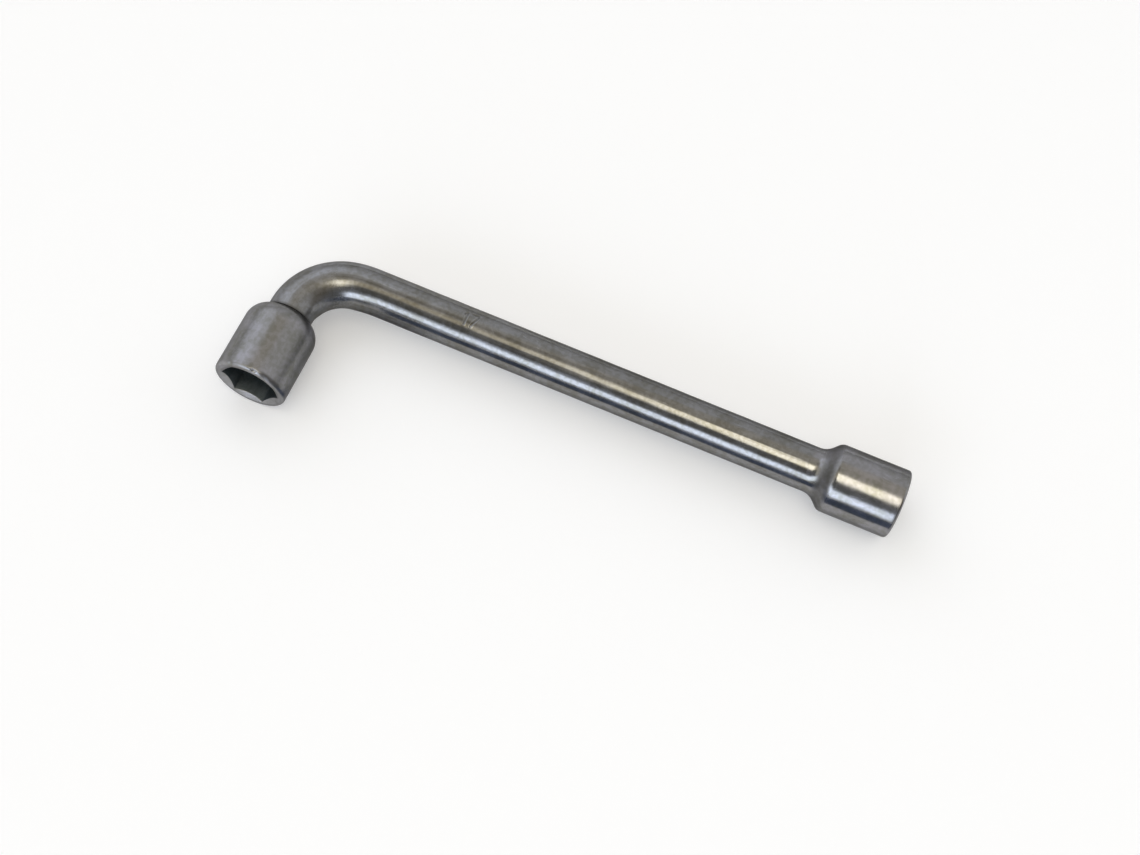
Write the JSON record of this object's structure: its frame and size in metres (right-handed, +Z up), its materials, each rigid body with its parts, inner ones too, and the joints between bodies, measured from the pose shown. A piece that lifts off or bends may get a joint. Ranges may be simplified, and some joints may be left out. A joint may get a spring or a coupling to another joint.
{
  "type": "angled socket wrench",
  "caption": "L-shaped socket wrench: a bent round steel bar with a hex socket at the elbow and another in line at its far end, for turning nuts and bolt heads.",
  "frame": {"origin": "under the middle of the whole tool as it lies flat, on the surface it lies on", "axes": "+X along the bar towards the straight socket, +Y away from the elbow socket's mouth, +Z up out of the plane of the L"},
  "size_m": [0.2204, 0.0602, 0.0247],
  "materials": {
    "bar_steel": "satin plated, polished along the bar",
    "socket_steel": "satin plated, turned outside, broached inside"
  },
  "bodies": {
    "root": {"bent_bar": "bar_steel", "elbow_socket": "socket_steel", "straight_socket": "socket_steel"}
  },
  "joints": []
}
